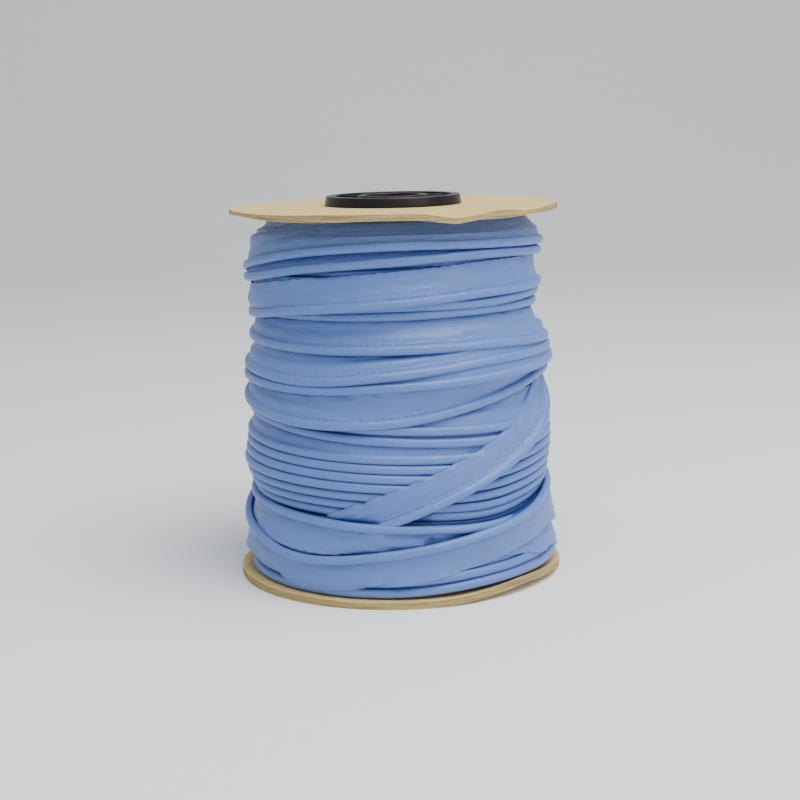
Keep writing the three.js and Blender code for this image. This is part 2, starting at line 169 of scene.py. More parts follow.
# Angle, lift of the top face and lift of the underside at the upper rim
UPPER_RIM = (
    (-110, 0, 0.2),
    (-62, -0.1, 1.3),
    (-42, -0.2, 0.4),
    (-20, 0.3, 0.4),
    (-3, 0.3, 1.2),
    (11, -0.1, 0.4),
    (20, -1.7, -0.9),
    (30, -0.7, 0.1),
    (37, 0.2, 0),
    (50, -0.6, 0.5),
    (66, 0.1, 0.9),
    (110, 0.3, 0.3),
    (180, 0.2, 0),
)

# Grid of the winding, in degrees round it and millimetres up it. A turn's seat is an average
# over the blend angle, and the last turn tucks in over the tuck angle.
COLUMN_STEP = 1.25
COLUMN_COUNT = int(360 / COLUMN_STEP)
ROW_STEP = 0.25
BLEND_ANGLE = 15
TUCK_ANGLE = 30
LIP_SAMPLES = 43

# The core lies this deep below the lowest turn within reach, in steps of the grid
CORE_REACH = 8
CORE_DEPTH = 1.4
CORE_ANGLE_STEP = 5.0
CORE_ROWS = 60

# Radius at which lengths along the piping are measured
LENGTH_RADIUS = FLANGE_RADIUS - 4

# The ball that finds the folds to paint in shade: how far it reaches up and down, and its radius
FOLD_REACH = 2.5
FOLD_ROUND = 2.6


class Curve:
    """A smooth curve through knots, straight past both ends."""

    def __init__(self, ats, values):
        self.at = np.asarray(ats, float)
        self.value = np.asarray(values, float)
        steps = np.maximum(np.diff(self.at), 1e-6)
        rises = np.diff(self.value) / steps
        inner = (rises[:-1] * steps[1:] + rises[1:] * steps[:-1]) / (steps[:-1] + steps[1:])
        self.slope = np.concatenate([rises[:1], inner, rises[-1:]])

    def __call__(self, at):
        at = np.asarray(at, float)
        i = np.clip(np.searchsorted(self.at, at) - 1, 0, len(self.at) - 2)
        span = self.at[i + 1] - self.at[i]
        t = (at - self.at[i]) / span
        rest = 1 - t
        start = (1 + 2 * t) * self.value[i] + t * span * self.slope[i]
        end = (1 + 2 * rest) * self.value[i + 1] - rest * span * self.slope[i + 1]
        inside = rest * rest * start + t * t * end
        before = self.value[0] + self.slope[0] * (at - self.at[0])
        after = self.value[-1] + self.slope[-1] * (at - self.at[-1])
        return np.where(at < self.at[0], before, np.where(at > self.at[-1], after, inside))


def curve_round(angles, values):
    """A curve of a value that comes round again after a full circle."""
    angles = np.asarray(angles, float)
    ats = np.concatenate([angles - 360, angles, angles + 360])
    return Curve(ats, np.tile(values, 3))


class Ripple:
    """A smooth, irregular wave of a length in millimetres or degrees."""

    def __init__(self, seed, length, height, count=5):
        draw = random.Random(seed)
        share = height / count ** 0.5
        self.waves = [
            (share * draw.uniform(0.7, 1.3), draw.uniform(0.6, 1.8) / length, draw.uniform(0, 1))
            for _ in range(count)
        ]

    def __call__(self, at):
        at = np.asarray(at, float)
        return sum(h * np.sin(2 * math.pi * (at * f + phase)) for h, f, phase in self.waves)


def list_turns():
    """All turns from the first to the last one wound."""
    turns = []
    for i, row in enumerate(GROUND_TURNS):
        last = i + 1 == len(GROUND_TURNS)
        following = row._replace(turn=row.turn + 1) if last else GROUND_TURNS[i + 1]
        for turn in range(row.turn, following.turn):
            share = (turn - row.turn) / (following.turn - row.turn)
            heights = [a + (b - a) * share for a, b in zip(row[1:], following[1:])]
            turns.append(Turn(f"ground{turn}", 1, *heights))
    return turns + list(OUTER_TURNS)


class Course:
    """Height and side of the piping, by how far round it has gone in degrees."""

    def __init__(self, turns):
        ats, heights, side_ats, sides = [], [], [], []
        for n, turn in enumerate(turns):
            for angle, height in zip(STATIONS, turn[2:]):
                ats.append(360 * n - angle)
                heights.append(height)
            side_ats += [360 * n - ROLL_OVER_ANGLE, 360 * n + ROLL_OVER_ANGLE]
            sides += [turn.lip, turn.lip]
        self.height = Curve(ats, heights)
        self.side_curve = Curve(side_ats, sides)

    def side(self, at):
        return np.clip(self.side_curve(at), -1, 1)


Section = namedtuple("Section", "at column middle side stretch seat end lip")


class Winding:
    """Lays every turn on those below it, and keeps the sections of the piping."""

    def __init__(self, width, cord_radius, lip_thickness):
        self.width = width
        self.cord_radius = cord_radius
        self.lip_thickness = lip_thickness
        self.turns = list_turns()
        self.names = [turn.name for turn in self.turns]
        self.rows = np.arange(WINDING_BOTTOM, WINDING_TOP + ROW_STEP / 2, ROW_STEP)
        levels, *profiles = zip(*CORE_PROFILE)
        core, right, front = (Curve(levels, values)(self.rows) for values in profiles)
        angles = np.radians(np.arange(COLUMN_COUNT) * COLUMN_STEP)[:, None]
        self.radii = core + np.sin(angles) * right + np.cos(angles) * front
        self.sections = self._lay()
        self.filled_radii = self.filled()

    def radius_at(self, column, height):
        return np.interp(height, self.rows, self.radii[column])

    def _taut(self, column, start, end, root):
        """The lip drawn taut over the ridges, at even shares of its way from the cord."""
        shares = np.linspace(0, 1, LIP_SAMPLES)
        radii = self.radius_at(column, start + (end - start) * shares) + self.lip_thickness
        radii[0] = root
        kept = [0]
        for i in range(1, LIP_SAMPLES):
            while len(kept) > 1:
                a, b = kept[-2], kept[-1]
                line = radii[a] + (radii[i] - radii[a]) * (b - a) / (i - a)
                if radii[b] > line:
                    break
                kept.pop()
            kept.append(i)
        return np.interp(shares, shares[kept], radii[kept])

    def _lay(self):
        course = Course(self.turns)
        first = -COLUMN_COUNT // 2
        last = (len(self.turns) - 1) * COLUMN_COUNT + COLUMN_COUNT // 2
        blend = int(BLEND_ANGLE / COLUMN_STEP)
        steps = np.arange(first - blend, last + blend + 1)
        ats = steps * COLUMN_STEP
        edges = course.height(ats)
        rises = (course.height(ats + 1) - course.height(ats - 1)) / 2
        stretches = np.hypot(1, rises / (math.radians(1) * FLANGE_RADIUS))
        sides = course.side(ats)
        middles = edges + sides * stretches * self.cord_radius
        columns = np.mod(-steps, COLUMN_COUNT)
        tucks = TUCK_DEPTH * np.clip((ats - last * COLUMN_STEP + TUCK_ANGLE) / TUCK_ANGLE, 0, 1)
        around = np.array([-0.5, 0, 0.5]) * self.cord_radius
        seats = np.zeros(len(steps))
        for k in range(2 * blend):
            seats[k] = self.radius_at(columns[k], middles[k] + around).mean()
        sections = []
        for k in range(blend, len(steps) - blend):
            ahead = k + blend
            seats[ahead] = self.radius_at(columns[ahead], middles[ahead] + around).mean()
            seat = seats[k - blend : ahead + 1].mean() - tucks[k]
            reach = sides[k] * stretches[k] * (self.width - self.cord_radius)
            end = min(middles[k] + reach, WINDING_TOP - 0.1)
            lip = self._taut(columns[k], middles[k], end, seat + LIP_ROOT) - tucks[k]
            parts = (each[k] for each in (ats, columns, middles, sides, stretches))
            section = Section(*parts, seat, end, lip)
            self._cover(section)
            sections.append(section)
        return sections

    def _cover(self, section):
        """Raises the surface to the section that has been laid on it."""
        offsets = self.rows - section.middle
        half = self.cord_radius * section.stretch
        bow = np.sqrt(np.clip(1 - (offsets / half) ** 2, 0, None))
        cord = np.where(np.abs(offsets) <= half, section.seat + self.cord_radius * (1 + bow), 0)
        length = section.end - section.middle
        shares = offsets / length if abs(length) > 1e-6 else np.full_like(offsets, -1)
        over = (shares >= 0) & (shares <= 1)
        lip = np.where(over, np.interp(shares, np.linspace(0, 1, LIP_SAMPLES), section.lip), 0)
        column = self.radii[section.column]
        np.maximum(column, np.maximum(cord, lip), out=column)

    def filled(self):
        """The surface with its folds filled, as a ball rolled over it would find it."""
        reach = int(FOLD_REACH / ROW_STEP)
        rows = np.arange(len(self.rows))

        def passed(radii, way):
            """The highest or, with way -1, the lowest radius that the ball meets near each row."""
            best = np.full_like(radii, -np.inf)
            for k in range(-reach, reach + 1):
                drop = (k * ROW_STEP) ** 2 / (2 * FOLD_ROUND)
                moved = way * radii[:, np.clip(rows + k, 0, len(rows) - 1)]
                np.maximum(best, moved - drop, out=best)
            return way * best

        return np.maximum(passed(passed(self.radii, 1), -1), self.radii)

    def steps_of(self, first_name, last_name):
        """Range of sections of the turns from one name to another."""
        first = self.names.index(first_name) * COLUMN_COUNT
        last = (self.names.index(last_name) + 1) * COLUMN_COUNT
        return range(first, last + 1)


@functools.cache
def winding_for(width, cord_radius, lip_thickness):
    return Winding(width, cord_radius, lip_thickness)


def current_winding(context):
    sizes = context.scene.piping_roll_piping
    return winding_for(
        round(sizes.width / MM, 3),
        round(sizes.cord_diameter / 2 / MM, 3),
        round(sizes.lip_thickness / MM, 3),
    )


def on_roll(angle, radius, height):
    """A point in millimetres from its angle in degrees, radius and height."""
    turn = np.radians(angle)
    return np.stack([radius * np.sin(turn), -radius * np.cos(turn), height + 0 * radius], -1)


# Meshes


def build_mesh(name, points, faces, uvs=None, sharp_angle=50, folds=None):
    """An object from points in millimetres, at the origin."""
    mesh = bpy.data.meshes.new(name)
    mesh.from_pydata((np.asarray(points) * MM).tolist(), [], faces)
    mesh.update()
    if uvs is not None:
        layer = mesh.uv_layers.new(name="piping")
        index = np.empty(len(mesh.loops), int)
        mesh.loops.foreach_get("vertex_index", index)
        layer.data.foreach_set("uv", np.asarray(uvs, np.float32)[index].ravel())
    if folds is not None:
        layer = mesh.attributes.new("fold", "FLOAT", "POINT")
        layer.data.foreach_set("value", np.asarray(folds, np.float32).ravel())
    mesh.polygons.foreach_set("use_smooth", np.ones(len(mesh.polygons), bool))
    mesh.set_sharp_from_angle(angle=math.radians(sharp_angle))
    piece = bpy.data.objects.new(name, mesh)
    bpy.context.scene.collection.objects.link(piece)
    return piece


def wall_faces(start, count, size, closed=False):
    """Faces between count outlines of size points, which close a ring or stay open."""
    faces = []
    for i in range(count if closed else count - 1):
        low, high = start + i * size, start + (i + 1) % count * size
        for j in range(size):
            k = (j + 1) % size
            faces.append((low + j, high + j, high + k, low + k))
    return faces


def tube_faces(start, count, size):
    """Faces of a closed tube with count outlines of size points, capped at both ends."""
    end = start + (count - 1) * size
    caps = [tuple(range(start, start + size)), tuple(range(end + size - 1, end - 1, -1))]
    return wall_faces(start, count, size) + caps


def ring_piece(name, angles, outline_at, sharp_angle=50, **extra):
    """A closed ring whose outline is given as radii and heights at each angle."""
    rows = []
    for angle in angles:
        radii, heights = outline_at(angle)
        rows.append(on_roll(angle, np.asarray(radii, float), np.asarray(heights, float)))
    faces = wall_faces(0, len(rows), len(rows[0]), True)
    return build_mesh(name, np.concatenate(rows), faces, sharp_angle=sharp_angle, **extra)


def small_part(name, points, count, size, sharp_angle=50):
    """A closed part along +X from count outlines, for use in rows and circles."""
    faces = [tuple(reversed(face)) for face in tube_faces(0, count, size)]
    piece = build_mesh(name, points, faces, sharp_angle=sharp_angle)
    piece.hide_render = True
    return piece


def hand_over(piece, material, slot, *nodes):
    """Gives a finished piece its material and body, and hides the nodes that it replaces. Its slot
    is not used.
    """
    if material is not None:
        piece.data.materials.clear()
        piece.data.materials.append(material)
    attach(piece, BODY)
    if nodes:
        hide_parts(*nodes)
    return piece


# Strips of piping

# Shares of the lip's width on its outer and inner face, and angles round the cord, with its
# lip and without. The stitches lie at the last shares.
LIP_OUT_STATIONS = np.array([1.8, 2.6, 3.6, 4.8, 6.0, 7.2, 8.4, 9.4, 10.2, 10.7]) / LIP_WIDTH
LIP_IN_STATIONS = np.array([1.8, 4.8, 7.2, 9.4, 10.7]) / LIP_WIDTH
CORD_ANGLES = np.radians(np.linspace(22, 338, 14))
BARE_CORD_ANGLES = np.radians(np.linspace(0, 330, 12))
STITCH_SHARE = 2.05 / LIP_WIDTH
PULLED_SHARES = (0.165, 0.19, 0.215)

# How far below the surface a step still counts as showing, how deep in a fold a stitch does,
# and how many steps are kept past both ends of what shows
EXPOSED_DEPTH = 0.45
OPEN_FOLD = 0.55
SHOWN_MARGIN = 4

# How square the cord is pressed, and how the lip falls from the cord's level by a share of its
# width. Past another share it flutters, and it stands off where a turn changes its side.
PRESSED = 0.78
LIP_LEVEL = 1.85
LIP_FALL = 1.0
LIP_FALL_WAY = 0.5
LOOSE_FROM, LOOSE_WAY = 0.55, 0.45
TURNING_LIFT = 2.5


class Strip:
    """Cross-sections of a stretch of piping, as arrays with a row per step."""

    def __init__(self, winding, steps):
        self.winding = winding
        chosen = zip(*(winding.sections[i] for i in steps))
        for part, values in zip(Section._fields, chosen):
            setattr(self, part, np.array(values))
        self.roll = np.arccos(np.clip(self.side, -1, 1))
        self.along = self.at * math.radians(1) * LENGTH_RADIUS
        self.flutter = Ripple(11, 26, 0.35)
        self.ragged = Ripple(12, 5.5, 0.16)

    def lip_points(self, shares, face):
        """Heights and radii of one face of the lip, at shares of its width."""
        samples = np.linspace(0, 1, LIP_SAMPLES)
        radii = np.array([np.interp(shares, samples, lip) for lip in self.lip])
        fall = np.clip(shares / LIP_FALL_WAY, 0, 1)
        held = LIP_LEVEL - LIP_FALL * fall * fall * (3 - 2 * fall)
        stiff = np.where(shares < LIP_FALL_WAY, self.seat[:, None] + held[None, :], 0)
        radii = np.maximum(radii, stiff)
        length = (self.end - self.middle)[:, None]
        heights = self.middle[:, None] + length * shares[None, :]
        half = self.winding.lip_thickness / 2
        loose = np.clip((shares - LOOSE_FROM) / LOOSE_WAY, 0, 1)[None, :] ** 2
        cos, sin = np.cos(self.roll)[:, None], np.sin(self.roll)[:, None]
        radii = radii - half + face * half * cos + loose * np.abs(self.flutter(self.along))[:, None]
        radii = radii + sin * shares[None, :] * TURNING_LIFT
        heights = heights - face * half * sin
        ragged = (loose > 0.95) * self.ragged(self.along)[:, None] * np.sign(length)
        return np.minimum(heights + ragged, WINDING_TOP - 0.05), radii

    def cord_points(self, angles):
        """Heights and radii of the cord's round, from angles measured from the lip."""
        radius = self.winding.cord_radius
        turned = angles[None, :] + self.roll[:, None]
        cos, sin = np.cos(turned), np.sin(turned)
        cos = np.sign(cos) * np.abs(cos) ** PRESSED
        sin = np.sign(sin) * np.abs(sin) ** PRESSED
        heights = self.middle[:, None] + radius * cos * self.stretch[:, None]
        radii = (self.seat + radius)[:, None] + radius * sin
        return heights, radii

    def outlines(self, with_lip):
        """Heights, radii and across positions of each closed outline."""
        radius = self.winding.cord_radius
        free = self.winding.width - radius

        def round_way(angles):
            return SEAM_PLACE - (math.pi - np.abs(angles - math.pi)) * radius

        if not with_lip:
            heights, radii = self.cord_points(BARE_CORD_ANGLES)
            return heights, radii, np.tile(round_way(BARE_CORD_ANGLES), (len(self.at), 1))
        outer = self.lip_points(LIP_OUT_STATIONS[::-1], 1)
        cord = self.cord_points(CORD_ANGLES)
        inner = self.lip_points(LIP_IN_STATIONS, -1)
        heights = np.concatenate([outer[0], cord[0], inner[0]], axis=1)
        radii = np.concatenate([outer[1], cord[1], inner[1]], axis=1)
        outer_across = radius + LIP_OUT_STATIONS[::-1] * free
        inner_across = radius + LIP_IN_STATIONS * free
        across = np.concatenate([outer_across, round_way(CORD_ANGLES), inner_across])
        return heights, radii, np.tile(across, (len(self.at), 1))

    def folds(self, heights, radii):
        """How deep each point lies in the folds between the turns."""
        deep = np.zeros_like(radii)
        for i, column in enumerate(self.column):
            filled = self.winding.filled_radii[column]
            deep[i] = np.interp(heights[i], self.winding.rows, filled) - radii[i]
        return np.clip(deep, 0, None)

    def exposed(self, heights, radii):
        """Whether each step reaches the outside of the finished winding."""
        shown = np.zeros(len(self.at), bool)
        for i, column in enumerate(self.column):
            surface = self.winding.radius_at(column, heights[i])
            shown[i] = bool(np.any(radii[i] > surface - EXPOSED_DEPTH))
        return shown


def shown_ranges(shown, margin):
    """First and last index of each stretch that shows, with a margin at both ends."""
    wide = np.convolve(shown.astype(int), np.ones(2 * margin + 1, int), "same") > 0
    edges = np.flatnonzero(np.diff(np.concatenate([[0], wide.astype(int), [0]])))
    return [(a, b - 1) for a, b in zip(edges[::2], edges[1::2]) if b - a > 2]


def strip_piece(name, strips):
    """One piece from strips given as a strip, its first and last step and if it has its lip."""
    points, faces, uvs, folds = [], [], [], []
    start = 0
    for strip, first, last, with_lip in strips:
        heights, radii, across = strip.outlines(with_lip)
        picked = slice(first, last + 1)
        angle = -strip.at[picked, None] + 0 * heights[picked]
        block = on_roll(angle, radii[picked], heights[picked])
        count, size = block.shape[:2]
        points.append(block.reshape(-1, 3))
        folds.append(strip.folds(heights, radii)[picked].ravel())
        along = np.repeat(strip.along[picked], size)
        uvs.append(np.stack([along - strip.along[0], across[picked].ravel()], -1))
        faces += tube_faces(start, count, size)
        start += count * size
    points, uvs, folds = (np.concatenate(blocks) for blocks in (points, uvs, folds))
    return build_mesh(name, points, faces, uvs, folds=folds)


# Materials

# Pitch of the weave and of the puckers at the seam in millimetres, where the cut edge lies
# across the piping, and over which depths a fold is painted darker as shade, down to which
# shares of the colour
WEAVE_PITCH = 0.52
PUCKER_PITCH = 2.6
CUT_EDGE = (11.9, 12.3)
FOLD_DEPTHS = (0.35, 1.75)
FOLD_SHADE_SHARES = (0.16, 0.24, 0.42)


def add_node(tree, kind, settings, inputs):
    """A node with its settings, and with inputs that are values or are linked to outputs."""
    made = tree.nodes.new(kind)
    for key, value in (settings or {}).items():
        setattr(made, key, value)
    for key, value in (inputs or {}).items():
        if isinstance(value, Wire):
            value = value.socket
        if isinstance(value, bpy.types.NodeSocket):
            tree.links.new(value, made.inputs[key])
        else:
            made.inputs[key].default_value = value
    return made


class Wire:
    """An output of a shader node. Arithmetic on it adds Math nodes."""

    def __init__(self, shader, socket):
        self.shader = shader
        self.socket = socket

    def _maths(self, operation, a, b):
        return self.shader.node("ShaderNodeMath", {"operation": operation}, {0: a, 1: b})

    def __add__(self, other):
        return self._maths("ADD", self, other)

    def __sub__(self, other):
        return self._maths("SUBTRACT", self, other)

    def __rsub__(self, other):
        return self._maths("SUBTRACT", other, self)

    def __mul__(self, other):
        return self._maths("MULTIPLY", self, other)

    def wave(self, length):
        """A sine of this value over a length, from -1 to 1."""
        return self._maths("SINE", self * (2 * math.pi / length), 0.0)

    def size(self):
        return self._maths("ABSOLUTE", self, 0.0)

    def ramp(self, low, high):
        """A smooth step from 0 at low to 1 at high."""
        inputs = {"Value": self, "From Min": low, "From Max": high}
        return self.shader.node(
            "ShaderNodeMapRange", {"interpolation_type": "SMOOTHSTEP"}, inputs
        )


class Shader:
    """A material with one Principled shader, whose constants are set on its sockets."""

    def __init__(self, name, **constants):
        self.material = bpy.data.materials.new(name)
        self.material.use_nodes = True
        self.tree = self.material.node_tree
        self.surface = self.tree.nodes["Principled BSDF"]
        for socket, value in constants.items():
            self.surface.inputs[socket.replace("_", " ")].default_value = value

    def node(self, kind, settings=None, inputs=None, output=0):
        return Wire(self, add_node(self.tree, kind, settings, inputs).outputs[output])

    def object_place(self):
        return self.node("ShaderNodeTexCoord", output="Object")

    def blend(self, factor, a, b):
        """Mixes two colours."""
        settings = {"data_type": "RGBA", "blend_type": "MIX"}
        return self.node("ShaderNodeMix", settings, {0: factor, 6: a, 7: b}, 2)

    def noise(self, vector, scale, detail=3.0, roughness=0.5):
        inputs = {"Vector": vector, "Scale": scale, "Detail": detail, "Roughness": roughness}
        return self.node("ShaderNodeTexNoise", inputs=inputs)

    def stretched(self, vector, scale, turn=0.0):
        inputs = {"Vector": vector, "Scale": scale, "Rotation": (0, 0, turn)}
        return self.node("ShaderNodeMapping", inputs=inputs)

    def bump(self, height, distance, strength=1.0, normal=None):
        inputs = {"Height": height, "Distance": distance, "Strength": strength}
        if normal is not None:
            inputs["Normal"] = normal
        return self.node("ShaderNodeBump", inputs=inputs)

    def finish(self, **wires):
        """The material, with these values fed to the shader."""
        for socket, wire in wires.items():
            self.tree.links.new(wire.socket, self.surface.inputs[socket.replace("_", " ")])
        return self.material


def shade(colour, factor):
    """A colour made lighter or darker."""
    return (*(min(1.0, part * factor) for part in colour[:3]), 1.0)


@functools.cache
def satin_material(colour):
    shader = Shader(
        "blue_satin", Sheen_Weight=0.12, Sheen_Roughness=0.4, Sheen_Tint=shade(colour, 1.8),
        IOR=1.46, Specular_IOR_Level=0.55,
    )
    fold = shader.node("ShaderNodeAttribute", {"attribute_name": "fold"}, {}, "Fac")
    place = shader.node("ShaderNodeUVMap", {"uv_map": "piping"}, {}, "UV")
    parts = add_node(shader.tree, "ShaderNodeSeparateXYZ", {}, {"Vector": place}).outputs
    along, across = Wire(shader, parts["X"]), Wire(shader, parts["Y"])
    drag = shader.noise(shader.stretched(place, (0.10, 0.42, 1), math.radians(38)), 1.0, 3.0)
    broad = shader.noise(shader.stretched(place, (0.02, 0.05, 1)), 1.0, 2.0)
    weave = (along + across).wave(WEAVE_PITCH) * (along - across).wave(WEAVE_PITCH)
    ditch = 1 - (across - SEAM_PLACE).size().ramp(0.0, 1.3)
    uneven = shader.noise(shader.stretched(place, (0.8, 0.1, 1)), 1.0, 2.0)
    pucker = (along.wave(PUCKER_PITCH) * 0.5 + uneven) * ditch
    cut = across.ramp(*CUT_EDGE)
    # Colour of the painted shade in the folds
    deep = (*(part * share for part, share in zip(colour, FOLD_SHADE_SHARES)), 1.0)
    tone = shader.blend(broad, shade(colour, 0.93), shade(colour, 1.06))
    # Painted sheen: lighter streaks where the drag wrinkles rise, on top of their real relief
    tone = shader.blend(drag.ramp(0.35, 0.75), tone, shade(colour, 1.07))
    tone = shader.blend(cut * 0.5, tone, shade(colour, 1.35))
    # Painted shade: darker the deeper a point lies in a fold between the turns
    tone = shader.blend(fold.ramp(*FOLD_DEPTHS), tone, deep)
    roughness = broad * 0.12 + drag * 0.10 + 0.31
    relief = shader.bump(drag, 0.0006)
    relief = shader.bump(pucker, 0.00013, 1.0, relief)
    relief = shader.bump(weave, 0.00001, 0.5, relief)
    return shader.finish(Base_Color=tone, Roughness=roughness, Normal=relief)


def thread_material(colour, name="sewing_thread"):
    shader = Shader(name, Sheen_Weight=0.3)
    place = shader.object_place()
    fibre = shader.noise(place, 9000.0, 2.0)
    tone = shader.blend(fibre, shade(colour, 0.85), shade(colour, 1.1))
    relief = shader.bump(fibre, 0.00003)
    return shader.finish(Base_Color=tone, Roughness=fibre * 0.2 + 0.4, Normal=relief)


def cardboard_material(colour):
    shader = Shader("kraft_cardboard", IOR=1.4)
    place = shader.object_place()
    fibre = shader.noise(shader.stretched(place, (1.0, 7.0, 3.0)), 420.0, 6.0, 0.6)
    cloud = shader.noise(place, 28.0, 3.0)
    speck = shader.noise(place, 2600.0, 2.0).ramp(0.66, 0.76)
    facing = shader.node("ShaderNodeNewGeometry", {}, {}, "True Normal")
    upward = shader.node("ShaderNodeSeparateXYZ", {}, {"Vector": facing}, "Z")
    wall = 1 - upward.size().ramp(0.35, 0.75)
    layers = shader.noise(shader.stretched(place, (60.0, 60.0, 2600.0)), 1.0, 3.0)
    tone = shader.blend(fibre.ramp(0.3, 0.7), shade(colour, 0.9), shade(colour, 1.06))
    tone = shader.blend(cloud.ramp(0.4, 0.65) * 0.4, tone, shade(colour, 0.88))
    tone = shader.blend(speck * 0.35, tone, shade(colour, 0.6))
    # The cut edge shows its layers, and is also painted darker as shade on the sideways faces
    edge_layers_and_shade = shader.blend(layers.ramp(0.35, 0.65), shade(colour, 0.42), shade(colour, 0.78))
    tone = shader.blend(wall, tone, edge_layers_and_shade)
    relief = shader.bump(fibre, 0.00006, 0.8)
    relief = shader.bump(layers * wall, 0.00025, 1.0, relief)
    return shader.finish(Base_Color=tone, Roughness=fibre * 0.15 + 0.75, Normal=relief)


def plastic_material(colour):
    shader = Shader("black_plastic", IOR=1.5, Specular_IOR_Level=0.3)
    place = shader.object_place()
    grain = shader.noise(place, 2400.0, 2.0)
    cloud = shader.noise(place, 90.0, 3.0)
    scuff = shader.noise(shader.stretched(place, (1.0, 9.0, 1.0), 0.6), 330.0, 4.0).ramp(0.58, 0.72)
    tone = shader.blend(cloud, shade(colour, 0.85), shade(colour, 1.2))
    tone = shader.blend(scuff * 0.25, tone, shade(colour, 2.6))
    roughness = cloud * 0.12 + scuff * 0.12 + 0.3
    relief = shader.bump(grain, 0.00002, 0.7)
    return shader.finish(Base_Color=tone, Roughness=roughness, Normal=relief)


def floor_material(colour):
    shader = Shader("pale_floor", Roughness=0.85)
    place = shader.object_place()
    cloud = shader.noise(place, 3.0, 2.0)
    return shader.finish(Base_Color=shader.blend(cloud, shade(colour, 0.99), shade(colour, 1.01)))


# Repeated small parts


class Nodes:
    """A Geometry Nodes tree with named inputs."""

    def __init__(self, name, inputs):
        self.tree = bpy.data.node_groups.new(name, "GeometryNodeTree")
        sockets = self.tree.interface
        sockets.new_socket("Geometry", in_out="INPUT", socket_type="NodeSocketGeometry")
        self.keys = {}
        for label, kind, value in inputs:
            item = sockets.new_socket(label, in_out="INPUT", socket_type="NodeSocket" + kind)
            if value is not None:
                item.default_value = value
            self.keys[label] = item.identifier
        sockets.new_socket("Geometry", in_out="OUTPUT", socket_type="NodeSocketGeometry")
        self.given = self.tree.nodes.new("NodeGroupInput")
        self.result = self.tree.nodes.new("NodeGroupOutput")

    def node(self, kind, settings=None, inputs=None, output=0):
        return add_node(self.tree, kind, settings, inputs).outputs[output]

    def finish(self, geometry):
        realized = self.node("GeometryNodeRealizeInstances", {}, {"Geometry": geometry})
        inputs = {"Geometry": realized, "Material": self.given.outputs["Material"]}
        coated = self.node("GeometryNodeSetMaterial", {}, inputs)
        self.tree.links.new(coated, self.result.inputs[0])

    def spread(self, points, rotation, size=(1, 1, 1)):
        """Sets the part on points and keeps the result."""
        given = {"Object": self.given.outputs["Part"]}
        part = self.node("GeometryNodeObjectInfo", {}, given, "Geometry")
        inputs = {"Points": points, "Instance": part, "Rotation": rotation, "Scale": size}
        self.finish(self.node("GeometryNodeInstanceOnPoints", {}, inputs))


@functools.cache
def row_tree():
    """Sets one small part after another along lines, lying as the lines' attributes say."""
    nodes = Nodes(
        "small parts along lines",
        [
            ("Part", "Object", None),
            ("Spacing", "Float", 0.0025),
            ("Smallest", "Float", 0.9),
            ("Largest", "Float", 1.1),
            ("Stray Angle", "Float", 0.1),
            ("Seed", "Int", 1),
            ("Material", "Material", None),
        ],
    )
    given = nodes.given.outputs
    lines = nodes.node("GeometryNodeMeshToCurve", {}, {"Mesh": given["Geometry"]})
    inputs = {"Curve": lines, "Length": given["Spacing"]}
    even = nodes.node("GeometryNodeResampleCurve", {"mode": "LENGTH"}, inputs)
    lie, out = (
        nodes.node(
            "GeometryNodeInputNamedAttribute", {"data_type": "FLOAT_VECTOR"}, {"Name": label}
        )
        for label in ("lie", "out")
    )
    turned = nodes.node("FunctionNodeAlignRotationToVector", {"axis": "X"}, {"Vector": lie})
    upright = nodes.node(
        "FunctionNodeAlignRotationToVector",
        {"axis": "Z", "pivot_axis": "X"},
        {"Rotation": turned, "Vector": out},
    )

    def draw(low, high):
        inputs = {"Min": low, "Max": high, "Seed": given["Seed"]}
        return nodes.node("FunctionNodeRandomValue", {"data_type": "FLOAT"}, inputs, "Value")

    angle = given["Stray Angle"]
    minus = nodes.node("ShaderNodeMath", {"operation": "SUBTRACT"}, {0: 0.0, 1: angle})
    turn = nodes.node("ShaderNodeCombineXYZ", {}, {"Z": draw(minus, angle)})
    turn = nodes.node("FunctionNodeEulerToRotation", {}, {"Euler": turn})
    rotation = nodes.node(
        "FunctionNodeRotateRotation",
        {"rotation_space": "LOCAL"},
        {"Rotation": upright, "Rotate By": turn},
    )
    nodes.spread(even, rotation, draw(given["Smallest"], given["Largest"]))
    return nodes


@functools.cache
def circle_tree():
    """Sets parts round a circle, each with its length pointing outwards."""
    nodes = Nodes(
        "parts round a circle",
        [
            ("Part", "Object", None),
            ("Count", "Int", 6),
            ("Radius", "Float", 0.017),
            ("Height", "Float", 0.0),
            ("Material", "Material", None),
        ],
    )
    given = nodes.given.outputs
    inputs = {"Vertices": given["Count"], "Radius": given["Radius"]}
    circle = nodes.node("GeometryNodeMeshCircle", {}, inputs)
    turn = nodes.node("ShaderNodeMath", {"operation": "DIVIDE"}, {0: math.pi, 1: given["Count"]})
    turned = nodes.node("ShaderNodeCombineXYZ", {}, {"Z": turn})
    lift = nodes.node("ShaderNodeCombineXYZ", {}, {"Z": given["Height"]})
    inputs = {"Geometry": circle, "Rotation": turned, "Translation": lift}
    circle = nodes.node("GeometryNodeTransform", {}, inputs)
    place = nodes.node("GeometryNodeInputPosition")
    level = nodes.node("ShaderNodeVectorMath", {"operation": "MULTIPLY"}, {0: place, 1: (1, 1, 0)})
    rotation = nodes.node("FunctionNodeAlignRotationToVector", {"axis": "X"}, {"Vector": level})
    nodes.spread(circle, rotation)
    return nodes


